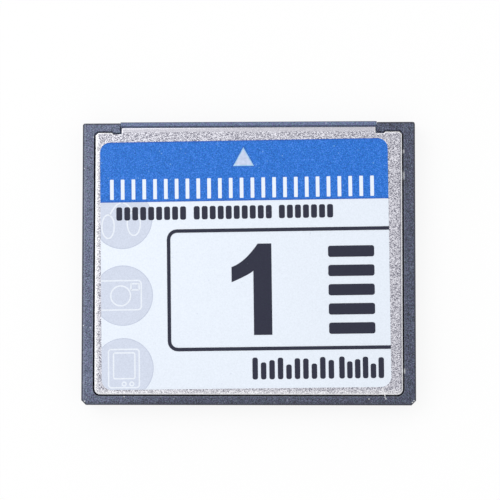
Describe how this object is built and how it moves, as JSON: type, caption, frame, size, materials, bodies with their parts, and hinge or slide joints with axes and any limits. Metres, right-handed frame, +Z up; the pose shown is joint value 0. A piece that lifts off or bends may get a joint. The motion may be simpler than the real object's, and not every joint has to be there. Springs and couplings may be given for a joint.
{
  "type": "compact flash card",
  "caption": "Thin rectangular flash memory card: plastic frame, two stamped steel covers, printed top label, edge socket connector, and board with chips inside.",
  "frame": {"origin": "centre of the card's footprint, on the surface it lies on", "axes": "+X across the card to the right of the label, +Y towards the socket connector, +Z up through the label"},
  "size_m": [0.0428, 0.0364, 0.0033],
  "materials": {
    "frame_plastic": "fine textured moulding, lightly worn edges",
    "cover_steel": "fine blasted stainless sheet",
    "housing_plastic": "smooth moulding",
    "contact_gold": "gold plated",
    "board_laminate": "solder mask",
    "chip_moulding": "moulded epoxy",
    "label_stock": "coated label",
    "blue_print": "printed ink",
    "dark_print": "printed ink"
  },
  "bodies": {
    "root": {"frame": "frame_plastic", "top_cover": "cover_steel", "bottom_cover": "cover_steel", "connector_housing": "housing_plastic", "circuit_board": "board_laminate", "flash_chip": "chip_moulding", "controller_chip": "chip_moulding", "label": "label_stock", "label_band": "blue_print", "label_rule": "dark_print", "contact_01": "contact_gold", "contact_02": "contact_gold", "contact_03": "contact_gold", "contact_04": "contact_gold", "contact_05": "contact_gold", "contact_06": "contact_gold", "contact_07": "contact_gold", "contact_08": "contact_gold", "contact_09": "contact_gold", "contact_10": "contact_gold", "contact_11": "contact_gold", "contact_12": "contact_gold", "contact_13": "contact_gold", "contact_14": "contact_gold", "contact_15": "contact_gold", "contact_16": "contact_gold", "contact_17": "contact_gold", "contact_18": "contact_gold", "contact_19": "contact_gold", "contact_20": "contact_gold", "contact_21": "contact_gold", "contact_22": "contact_gold", "contact_23": "contact_gold", "contact_24": "contact_gold", "contact_25": "contact_gold", "contact_26": "contact_gold", "contact_27": "contact_gold", "contact_28": "contact_gold", "contact_29": "contact_gold", "contact_30": "contact_gold", "contact_31": "contact_gold", "contact_32": "contact_gold", "contact_33": "contact_gold", "contact_34": "contact_gold", "contact_35": "contact_gold", "contact_36": "contact_gold", "contact_37": "contact_gold", "contact_38": "contact_gold", "contact_39": "contact_gold", "contact_40": "contact_gold", "contact_41": "contact_gold", "contact_42": "contact_gold", "contact_43": "contact_gold", "contact_44": "contact_gold", "contact_45": "contact_gold", "contact_46": "contact_gold", "contact_47": "contact_gold", "contact_48": "contact_gold", "contact_49": "contact_gold", "contact_50": "contact_gold"}
  },
  "joints": []
}
